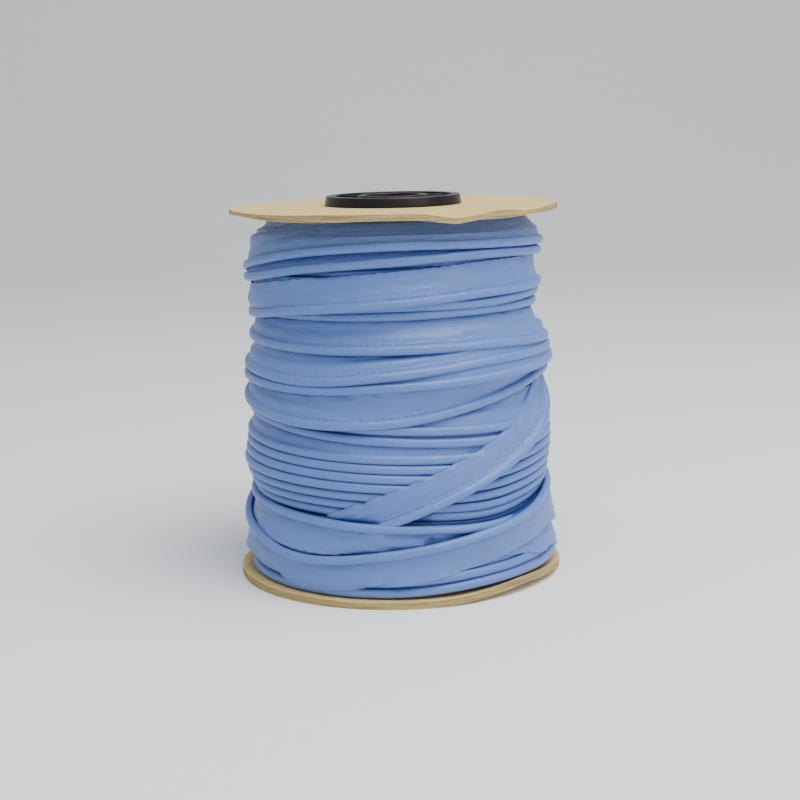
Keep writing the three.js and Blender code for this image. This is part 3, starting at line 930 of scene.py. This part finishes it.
def grow(name, nodes, base_mesh, values):
    """Runs a Geometry Nodes tree on a mesh and keeps its result as a plain mesh."""
    carrier = bpy.data.objects.new(name + "_lines", base_mesh)
    bpy.context.scene.collection.objects.link(carrier)
    modifier = carrier.modifiers.new("grow", "NODES")
    modifier.node_group = nodes.tree
    for label, value in values.items():
        modifier[nodes.keys[label]] = value
    bpy.context.view_layer.update()
    graph = bpy.context.evaluated_depsgraph_get()
    mesh = bpy.data.meshes.new_from_object(carrier.evaluated_get(graph))
    mesh.name = name
    carrier.modifiers.clear()
    bpy.data.objects.remove(carrier)
    if not mesh.polygons:
        raise RuntimeError(f"{name} came out empty")
    piece = bpy.data.objects.new(name, mesh)
    bpy.context.scene.collection.objects.link(piece)
    return piece


def line_mesh(name, lines):
    """Edges along lines of points in millimetres, with the way that parts on them lie."""
    points, edges, lies, outs = [], [], [], []
    for line, lie, out in lines:
        start = len(points)
        points += (line * MM).tolist()
        lies.append(lie)
        outs.append(out)
        edges += [(start + i, start + i + 1) for i in range(len(line) - 1)]
    mesh = bpy.data.meshes.new(name)
    mesh.from_pydata(points, edges, [])
    for label, vectors in (("lie", lies), ("out", outs)):
        layer = mesh.attributes.new(label, "FLOAT_VECTOR", "POINT")
        layer.data.foreach_set("vector", np.concatenate(vectors).astype(np.float32).ravel())
    return mesh


def spindle(name, length, width, height, sides=6, rings=5):
    """A small rounded thread along +X, arched outwards."""
    points = []
    for i in range(rings):
        share = i / (rings - 1)
        swell = width / 2 * math.sin(math.pi * (0.12 + 0.76 * share)) ** 0.5
        rise = height * math.sin(math.pi * share)
        for j in range(sides):
            turn = 2 * math.pi * j / sides
            place = (share - 0.5) * length, swell * math.cos(turn), swell * math.sin(turn) + rise
            points.append(place)
    return small_part(name, points, rings, sides)


def thread_row(name, lines, part, spacing, sizes, stray, seed, material):
    """A piece of small threads along lines, with sizes and slants drawn from a range."""
    values = {
        "Part": part,
        "Spacing": spacing,
        "Smallest": sizes[0],
        "Largest": sizes[1],
        "Stray Angle": stray,
        "Seed": seed,
        "Material": material,
    }
    piece = grow(name, row_tree(), line_mesh(name + "_lines", lines), values)
    bpy.data.objects.remove(part)
    hand_over(piece, None, "blue_satin", "winding")


# Settings


def length_setting(name, description, default):
    return FloatProperty(
        name=name, description=description, default=default, unit="LENGTH", subtype="DISTANCE"
    )


def colour_setting(name, description, default):
    return FloatVectorProperty(
        name=name, description=description, default=default,
        subtype="COLOR", size=3, min=0, max=1,
    )


def power_setting(name, description, default):
    return FloatProperty(name=name, description=description, default=default, unit="POWER")


class PipingSettings(bpy.types.PropertyGroup):
    """Sizes and colours of the piping."""

    width: length_setting("Piping Width", "Width from the cord to the cut edge", 0.0123)
    cord_diameter: length_setting("Cord Diameter", "Thickness of the covered cord", 0.0032)
    lip_thickness: length_setting(
        "Lip Thickness", "Thickness of the two layers of satin beside the cord", 0.0005
    )
    stitch_spacing: length_setting(
        "Stitch Spacing", "Distance from one stitch to the next", 0.0026
    )
    stitch_length: length_setting("Stitch Length", "Length of one stitch that shows", 0.0019)
    fray_spacing: length_setting(
        "Fray Spacing", "Distance between loose threads at the cut edge", 0.0009
    )
    seed: IntProperty(name="Seed", description="Order of the random draws", default=7)
    satin: colour_setting("Satin", "Colour of the satin", (0.104, 0.190, 0.472))
    thread: colour_setting("Thread", "Colour of the sewing thread", (0.10, 0.19, 0.48))
    # This thread is paler than the satin as a painted highlight on the puckered seam
    highlit_thread: colour_setting(
        "Highlit Thread", "Colour of the pulled thread on the steep turn", (0.27, 0.41, 0.76)
    )


class ReelSettings(bpy.types.PropertyGroup):
    """Sizes and colours of the reel."""

    rib_count: IntProperty(name="Ribs", description="Ribs across the hub's web", default=6)
    cardboard: colour_setting("Cardboard", "Colour of the cardboard", (0.63, 0.46, 0.19))
    plastic: colour_setting("Plastic", "Colour of the hub", (0.006, 0.0045, 0.0055))


class StageSettings(bpy.types.PropertyGroup):
    """Floor and light."""

    floor: colour_setting("Floor", "Colour of the floor", (0.80, 0.815, 0.835))
    key_power: power_setting("Key Light", "Power of the large light overhead", 22.0)
    fill_power: power_setting("Fill Light", "Power of the light at the right of the camera", 2.5)


# Builders


def satin_of(context):
    return satin_material(tuple(context.scene.piping_roll_piping.satin))


class Builder:
    """Shared running of the builders."""

    def execute(self, context):
        self.build(context)
        return {"FINISHED"}


class PIPINGROLL_OT_core(Builder, bpy.types.Operator):
    """Build the older layers below the turns that show"""

    bl_idname = "pipingroll.core"
    bl_label = "Inner Layers"

    def build(self, context):
        winding = current_winding(context)
        lowest = winding.radii.copy()
        for shift in range(-CORE_REACH, CORE_REACH + 1):
            lowest = np.minimum(lowest, np.roll(winding.radii, shift, axis=0))
        for shift in range(1, CORE_REACH + 1):
            lowest[:, shift:] = np.minimum(lowest[:, shift:], winding.radii[:, :-shift])
            lowest[:, :-shift] = np.minimum(lowest[:, :-shift], winding.radii[:, shift:])
        rows = np.linspace(WINDING_BOTTOM, WINDING_TOP, CORE_ROWS)
        heights = np.concatenate([[WINDING_BOTTOM], rows, [WINDING_TOP]])

        def outline(angle):
            column = int(round(angle / COLUMN_STEP)) % COLUMN_COUNT
            outer = np.interp(rows, winding.rows, lowest[column]) - CORE_DEPTH
            return np.concatenate([[HOLE_RADIUS], outer, [HOLE_RADIUS]]), heights

        angles = np.arange(0, 360, CORE_ANGLE_STEP)
        around = np.repeat(angles, len(heights))
        uvs = np.stack([around, 1.6 + 0 * around], -1)
        # The core counts as deep in a fold everywhere, so it is painted wholly in the fold shade
        folds = np.full(len(around), FOLD_ROUND)
        piece = ring_piece("winding_core", angles, outline, uvs=uvs, folds=folds)
        hand_over(piece, satin_of(context), "blue_satin", "winding")


class PIPINGROLL_OT_ground_turns(Builder, bpy.types.Operator):
    """Build the close turns of piping that show between the outer ones"""

    bl_idname = "pipingroll.ground_turns"
    bl_label = "Close Turns"

    def build(self, context):
        winding = current_winding(context)
        strips = []
        for name in winding.names:
            if not name.startswith("ground"):
                continue
            strip = Strip(winding, winding.steps_of(name, name))
            cord = strip.exposed(*strip.outlines(False)[:2])
            lip = strip.exposed(*strip.lip_points(LIP_OUT_STATIONS[1:], 1))
            for first, last in shown_ranges(cord | lip, SHOWN_MARGIN):
                strips.append((strip, first, last, bool(lip[first : last + 1].any())))
        piece = strip_piece("piping_close_turns", strips)
        hand_over(piece, satin_of(context), "blue_satin", "winding")


class PIPINGROLL_OT_outer_turns(Builder, bpy.types.Operator):
    """Build the loose outer turns, with their cord and lip"""

    bl_idname = "pipingroll.outer_turns"
    bl_label = "Outer Turns"

    def build(self, context):
        winding = current_winding(context)
        for name, (first_name, last_name) in OUTER_PIECES.items():
            strip = Strip(winding, winding.steps_of(first_name, last_name))
            shown = strip.exposed(*strip.outlines(True)[:2])
            ranges = shown_ranges(shown, SHOWN_MARGIN)
            piece = strip_piece(name, [(strip, first, last, True) for first, last in ranges])
            hand_over(piece, satin_of(context), "blue_satin", "winding")


def edge_lines(winding, share, lift, lie_along, first=STEEP_TURN, last=OUTER_TURNS[-1].name):
    """Lines along the outer turns at a share of the lip's width, where they show."""
    strip = Strip(winding, winding.steps_of(first, last))
    upper, lower = (strip.lip_points(np.array([share]), face) for face in (1, -1))
    faced = np.cos(strip.roll) >= 0
    heights, radii = (np.where(faced, a[:, 0], b[:, 0]) for a, b in zip(upper, lower))
    radii = radii + lift
    places = list(zip(strip.column, heights))
    surface = np.array([winding.radius_at(c, h) for c, h in places])
    filled = np.array([np.interp(h, winding.rows, winding.filled_radii[c]) for c, h in places])
    shown = (radii > surface - EXPOSED_DEPTH) & (radii > filled - OPEN_FOLD)
    shown &= (np.abs(strip.side) > 0.8) & (heights < WINDING_TOP - 1)
    points = on_roll(-strip.at, radii, heights)
    out = on_roll(-strip.at, np.ones_like(radii), np.zeros_like(radii))
    tangent = np.gradient(points, axis=0)
    tangent /= np.linalg.norm(tangent, axis=1)[:, None]
    across = np.cross(tangent, out) * np.sign(strip.side)[:, None]
    across *= np.sign(across[:, 2] * strip.side)[:, None]
    lie = tangent if lie_along else across
    ranges = [slice(start, stop + 1) for start, stop in shown_ranges(shown, 0)]
    return [(points[picked], lie[picked], out[picked]) for picked in ranges]


class PIPINGROLL_OT_stitches(Builder, bpy.types.Operator):
    """Build the stitches beside the cord of the outer turns"""

    bl_idname = "pipingroll.stitches"
    bl_label = "Stitches"

    def build(self, context):
        sizes = context.scene.piping_roll_piping
        lines = edge_lines(current_winding(context), STITCH_SHARE, -0.02, True)
        stitch = spindle("stitch", sizes.stitch_length / MM, 0.2, 0.04)
        thread_row(
            "piping_stitches", lines, stitch, sizes.stitch_spacing, (0.85, 1.15), 0.22,
            sizes.seed, thread_material(sizes.thread),
        )
        self.pulled_seam(context)

    def pulled_seam(self, context):
        """The pulled stitches of the steep turn across the front, in a thread made paler as a
        painted highlight.
        """
        sizes = context.scene.piping_roll_piping
        lines = []
        for share in PULLED_SHARES:
            lines += edge_lines(current_winding(context), share, 0.12, True, last=STEEP_TURN)
        stitch = spindle("pulled_stitch", sizes.stitch_length / MM * 0.9, 0.24, 0.08)
        thread_row(
            "piping_pulled_seam", lines, stitch, sizes.stitch_spacing * 0.8, (0.3, 1.2), 0.5,
            sizes.seed + 2, thread_material(sizes.highlit_thread, "highlit_thread"),
        )


class PIPINGROLL_OT_frayed_edges(Builder, bpy.types.Operator):
    """Build the loose threads at the cut edge of the outer turns"""

    bl_idname = "pipingroll.frayed_edges"
    bl_label = "Frayed Edges"

    def build(self, context):
        sizes = context.scene.piping_roll_piping
        lines = edge_lines(current_winding(context), 1.0, -0.2, False)
        thread = spindle("loose_thread", 0.9, 0.09, 0.1, 4, 4)
        thread_row(
            "piping_fray", lines, thread, sizes.fray_spacing, (0.3, 1.0), 0.7,
            sizes.seed + 1, thread_material(sizes.thread),
        )


def rim_share(radius):
    """Share of the rim's lift that a radius gets."""
    return np.clip((radius - FLAT_RADIUS) / (FLANGE_RADIUS - FLAT_RADIUS), 0, 1) ** 2


def disc_piece(name, base, bottom_lift, top_lift, seed):
    """A disc of solid board, with a rim that is cut roughly and dented."""
    face_radii = np.array([HOLE_RADIUS, 25, 33, FLAT_RADIUS, 50, 53, 56, 58, 59.2, 59.65])
    wall_shares = np.array([0.06, 0.2, 0.36, 0.52, 0.68, 0.84, 0.95])
    wall_insets = np.array([0.12, 0.1, 0.16, 0.08, 0.18, 0.1, 0.1])
    dents = Ripple(seed, 19, 0.16)
    cuts = [Ripple(seed + 1 + i, 4 + 3 * (i % 3), 0.10) for i in range(len(wall_shares))]
    outline_cut = Ripple(seed + 20, 9, 0.14)
    frayed_cut = Ripple(seed + 21, 2.4, 0.12)

    def faces_at(angle, at_radii):
        share = rim_share(at_radii)
        low = base + bottom_lift(angle) * share
        worn = 0.6 * abs(dents(angle)) + 0.5 * abs(frayed_cut(angle))
        high = base + FLANGE_THICKNESS + (top_lift(angle) - worn) * share
        return low, high

    def outline(angle):
        rim_low, rim_high = faces_at(angle, np.array([FLANGE_RADIUS]))
        cut = abs(outline_cut(angle)) + abs(frayed_cut(angle))
        edge = FLANGE_RADIUS - wall_insets - cut
        wall = edge - np.array([abs(ripple(angle)) for ripple in cuts])
        wall_heights = rim_low + (rim_high - rim_low) * wall_shares
        cut_radii = np.minimum(face_radii, FLANGE_RADIUS - 0.3 - cut)
        low, high = faces_at(angle, cut_radii)
        radii = np.concatenate([cut_radii, wall, cut_radii[::-1]])
        heights = np.concatenate([low, wall_heights, high[::-1]])
        return radii, heights

    return ring_piece(name, np.arange(0, 360, 0.5), outline)


class PIPINGROLL_OT_discs(Builder, bpy.types.Operator):
    """Build both cardboard discs"""

    bl_idname = "pipingroll.discs"
    bl_label = "Cardboard Discs"

    def build(self, context):
        reel = context.scene.piping_roll_reel
        material = cardboard_material(reel.cardboard)
        angle, lift = zip(*LOWER_RIM)
        curl = curve_round(angle, lift)

        def lower(at):
            return max(float(curl(at)), 0.0)

        angle, top, bottom = zip(*UPPER_RIM)
        upper_base = REEL_HEIGHT - FLANGE_THICKNESS
        low = disc_piece("disc_bottom", 0.0, lower, lower, 21)
        bottom, top = curve_round(angle, bottom), curve_round(angle, top)
        high = disc_piece("disc_top", upper_base, bottom, top, 51)
        hand_over(low, material, "kraft_cardboard", "flange_bottom")
        hand_over(high, material, "kraft_cardboard", "flange_top")


# Outline of the hub from the bottom of the bore outwards: radius, height above the collar's
# underside, where None is the hub's foot, and size of the rounding at the corner. Then the
# collar's underside, and the ribs: the radius at their middle, length, width and foot
HUB_OUTLINE = (
    (10.5, None, 0.3),
    (12.8, None, 0.3),
    (12.8, 0.0, 0.5),
    (16.0, 0.0, 0.5),
    (16.0, None, 0.3),
    (18.0, None, 0.3),
    (18.0, 0.0, 0.2),
    (25.0, 0.0, 0.15),
    (24.4, 3.2, 0.45),
    (21.2, 3.2, 0.3),
    (21.2, 1.6, 0.5),
    (12.8, 1.6, 0.5),
    (12.8, 3.2, 0.3),
    (10.5, 3.2, 0.4),
)
HUB_SEAT = REEL_HEIGHT + 0.3
RIB_MIDDLE = 17.0
RIB_LENGTH = 9.4
RIB_WIDTH = 1.4
RIB_FOOT = 1.1


def rounded_outline(corners, bends=4):
    """A closed outline whose corners are rounded."""
    rounded = []
    count = len(corners)
    for i, (radius, height, size) in enumerate(corners):
        here = Vector((radius, height))
        before = Vector(corners[i - 1][:2]) - here
        after = Vector(corners[(i + 1) % count][:2]) - here
        size = min(size, before.length * 0.45, after.length * 0.45)
        start = here + before.normalized() * size
        end = here + after.normalized() * size
        for bend in range(bends + 1):
            t = bend / bends
            point = start * (1 - t) ** 2 + here * (2 * t * (1 - t)) + end * t ** 2
            rounded.append((point.x, point.y))
    return np.array(rounded)


class PIPINGROLL_OT_hub(Builder, bpy.types.Operator):
    """Build the plastic hub"""

    bl_idname = "pipingroll.hub"
    bl_label = "Plastic Hub"

    def build(self, context):
        reel = context.scene.piping_roll_reel
        material = plastic_material(reel.plastic)
        corners = [
            (radius, HUB_BOTTOM if height is None else HUB_SEAT + height, size)
            for radius, height, size in HUB_OUTLINE
        ]
        outline = rounded_outline(corners)
        angles = np.arange(0, 360, 3.0)
        piece = ring_piece("hub_body", angles, lambda angle: (outline[:, 0], outline[:, 1]), 35)
        hand_over(piece, material, "black_plastic", "hub")

        rib = rounded_rib(RIB_LENGTH, RIB_WIDTH, RIB_FOOT, HUB_TOP - HUB_SEAT - 0.5)
        values = {
            "Part": rib,
            "Count": reel.rib_count,
            "Radius": RIB_MIDDLE * MM,
            "Height": HUB_SEAT * MM,
            "Material": material,
        }
        ribs = grow("hub_ribs", circle_tree(), bpy.data.meshes.new("rib_places"), values)
        bpy.data.objects.remove(rib)
        hand_over(ribs, None, "black_plastic", "hub")


def rounded_rib(length, width, low, high):
    """A rib along +X with rounded long edges, centred on the middle of its length."""
    ease = 0.25
    side = [
        (width / 2 + 0.1, low),
        (width / 2, high - ease),
        (width / 2 - ease * 0.35, high - ease * 0.3),
        (width / 2 - ease, high),
    ]
    other = [(-y, z) for y, z in side]
    section = [other[0], *side, *reversed(other[1:])]
    points = [(x, y, z) for x in (-length / 2, length / 2) for y, z in section]
    return small_part("rib", points, 2, len(section), 40)


# Places and sizes of the lights in metres, and the tones of their light
KEY_LIGHT = ((0.34, -0.34, 1.12), (0, 0, 0.06), (1.1, 0.9), (1, 0.985, 0.96))
FILL_LIGHT = ((0.85, -0.85, 0.55), (0, 0, 0.07), (0.7, 0.8), (1, 0.99, 0.98))
ROOM_TONE = (0.80, 0.84, 0.90, 1)
ROOM_STRENGTH = 0.78

# Camera from the photograph: place in metres, angles in degrees and lens in millimetres
CAMERA_PLACE = (0.0, -0.60327, 0.17029)
CAMERA_PITCH = 10.104
CAMERA_ROLL = 1.288
CAMERA_YAW = 0.087
CAMERA_LENS = 73.93


def add_area_light(name, power, place, target, size, tone):
    light = bpy.data.lights.new(name, "AREA")
    light.shape = "RECTANGLE"
    light.size, light.size_y = size
    light.energy = power
    light.color = tone
    lamp = bpy.data.objects.new(name, light)
    bpy.context.scene.collection.objects.link(lamp)
    lamp.location = place
    aim = Vector(target) - Vector(place)
    lamp.rotation_mode = "QUATERNION"
    lamp.rotation_quaternion = aim.to_track_quat("-Z", "Y")
    return lamp


class PIPINGROLL_OT_stage(Builder, bpy.types.Operator):
    """Set up the floor, the light and the camera"""

    bl_idname = "pipingroll.stage"
    bl_label = "Stage"

    def build(self, context):
        stage = context.scene.piping_roll_stage
        self.add_floor(stage)
        self.add_lights(context, stage)
        self.add_camera(context)

    def add_floor(self, stage):
        """A sweep that rises behind the roll."""
        near, far, bend, top, side, steps = -2.5, 1.1, 0.9, 3.0, 3.0, 12
        profile = [(near, 0.0), (far, 0.0)]
        for i in range(1, steps + 1):
            turn = math.radians(90 * i / steps)
            profile.append((far + bend * math.sin(turn), bend * (1 - math.cos(turn))))
        profile.append((far + bend, top))
        points = [(x / MM, y / MM, z / MM) for x in (-side, side) for y, z in profile]
        count = len(profile)
        faces = [(i, count + i, count + i + 1, i + 1) for i in range(count - 1)]
        floor = build_mesh("floor", points, faces)
        floor.data.materials.append(floor_material(stage.floor))

    def add_lights(self, context, stage):
        world = bpy.data.worlds.new("soft_room")
        world.use_nodes = True
        sky = world.node_tree.nodes["Background"]
        sky.inputs["Color"].default_value = ROOM_TONE
        sky.inputs["Strength"].default_value = ROOM_STRENGTH
        context.scene.world = world
        add_area_light("key", stage.key_power, *KEY_LIGHT)
        add_area_light("fill", stage.fill_power, *FILL_LIGHT)

    def add_camera(self, context):
        pitch, roll, yaw = (math.radians(a) for a in (CAMERA_PITCH, CAMERA_ROLL, CAMERA_YAW))
        forward = Vector(
            (math.sin(yaw) * math.cos(pitch), math.cos(yaw) * math.cos(pitch), -math.sin(pitch))
        )
        right = Vector((math.cos(yaw), -math.sin(yaw), 0))
        up = right.cross(forward)
        across = right * math.cos(roll) - up * math.sin(roll)
        upward = right * math.sin(roll) + up * math.cos(roll)
        turn = Matrix((across, upward, -forward)).transposed()
        data = bpy.data.cameras.new("camera")
        data.lens = CAMERA_LENS
        data.sensor_width = 36
        data.clip_start, data.clip_end = 0.01, 20
        camera = bpy.data.objects.new("camera", data)
        context.scene.collection.objects.link(camera)
        camera.matrix_world = Matrix.Translation(CAMERA_PLACE) @ turn.to_4x4()
        context.scene.camera = camera


BUILDERS = (
    PIPINGROLL_OT_stage,
    PIPINGROLL_OT_core,
    PIPINGROLL_OT_ground_turns,
    PIPINGROLL_OT_outer_turns,
    PIPINGROLL_OT_stitches,
    PIPINGROLL_OT_frayed_edges,
    PIPINGROLL_OT_discs,
    PIPINGROLL_OT_hub,
)


class PIPINGROLL_PT_panel(bpy.types.Panel):
    """Sidebar panel with the settings and builders"""

    bl_idname = "PIPINGROLL_PT_panel"
    bl_label = "Piping Roll"
    bl_space_type = "VIEW_3D"
    bl_region_type = "UI"
    bl_category = "Piping Roll"

    def draw(self, context):
        for group in ("piping_roll_piping", "piping_roll_reel", "piping_roll_stage"):
            settings = getattr(context.scene, group)
            box = self.layout.box()
            for name in settings.__annotations__:
                box.prop(settings, name)
        for builder in BUILDERS:
            self.layout.operator(builder.bl_idname)


GROUPS = {
    "piping_roll_piping": PipingSettings,
    "piping_roll_reel": ReelSettings,
    "piping_roll_stage": StageSettings,
}


def register():
    for name, group in GROUPS.items():
        bpy.utils.register_class(group)
        setattr(bpy.types.Scene, name, PointerProperty(type=group))
    for builder in BUILDERS:
        bpy.utils.register_class(builder)
    bpy.utils.register_class(PIPINGROLL_PT_panel)


def unregister():
    bpy.utils.unregister_class(PIPINGROLL_PT_panel)
    for builder in reversed(BUILDERS):
        bpy.utils.unregister_class(builder)
    for name, group in GROUPS.items():
        delattr(bpy.types.Scene, name)
        bpy.utils.unregister_class(group)


def main():
    register()
    for builder in BUILDERS:
        group, name = builder.bl_idname.split(".")
        getattr(getattr(bpy.ops, group), name)()


if __name__ == "__main__":
    main()
